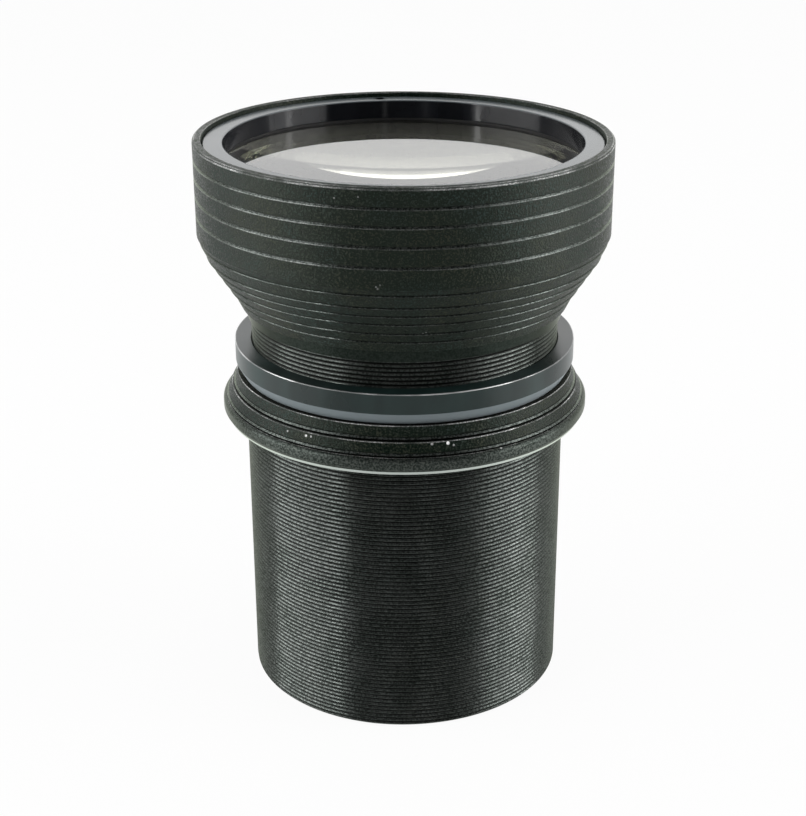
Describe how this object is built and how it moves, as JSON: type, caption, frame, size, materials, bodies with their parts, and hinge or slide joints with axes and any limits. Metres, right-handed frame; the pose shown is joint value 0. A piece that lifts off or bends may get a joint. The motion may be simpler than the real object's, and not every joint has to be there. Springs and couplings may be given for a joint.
{
  "type": "lighting fixture lens",
  "caption": "Black optical lens barrel with a long fine outside thread, a stepped flange, a lock ring and a wide grooved head round a flat front glass.",
  "frame": {"origin": "centre of the rear end face of the barrel, on the optical axis", "axes": "+Z along the optical axis, from the rear end to the front glass"},
  "size_m": [0.0944, 0.0944, 0.1314],
  "materials": {
    "barrel_black": "blasted black anodised",
    "head_black": "blasted black anodised",
    "lock_ring_satin": "smooth satin black anodised",
    "ring_gloss": "glossy black anodised",
    "inner_black": "matte black anodised",
    "seal_rubber": "matte",
    "coated_glass": "polished, anti-reflection coated"
  },
  "bodies": {
    "barrel": {"rear_barrel": "barrel_black", "fourth_lens": "coated_glass", "rear_spacer": "inner_black", "rear_lens": "coated_glass", "rear_retaining_ring": "inner_black"},
    "front_group": {"front_cell": "head_black", "front_retaining_ring": "ring_gloss", "front_seal": "seal_rubber", "front_lens": "coated_glass", "front_spacer": "inner_black", "second_lens": "coated_glass", "third_lens": "coated_glass", "third_lens_ring": "inner_black"},
    "lock_ring": {"lock_ring": "lock_ring_satin"}
  },
  "joints": [
    {"name": "focus_travel", "type": "slide", "parent": "barrel", "child": "front_group", "axis": [0, 0, 1], "range_m": [-0.003, 0.008]},
    {"name": "lock_ring_travel", "type": "slide", "parent": "barrel", "child": "lock_ring", "axis": [0, 0, 1], "range_m": [0, 0.003]}
  ]
}
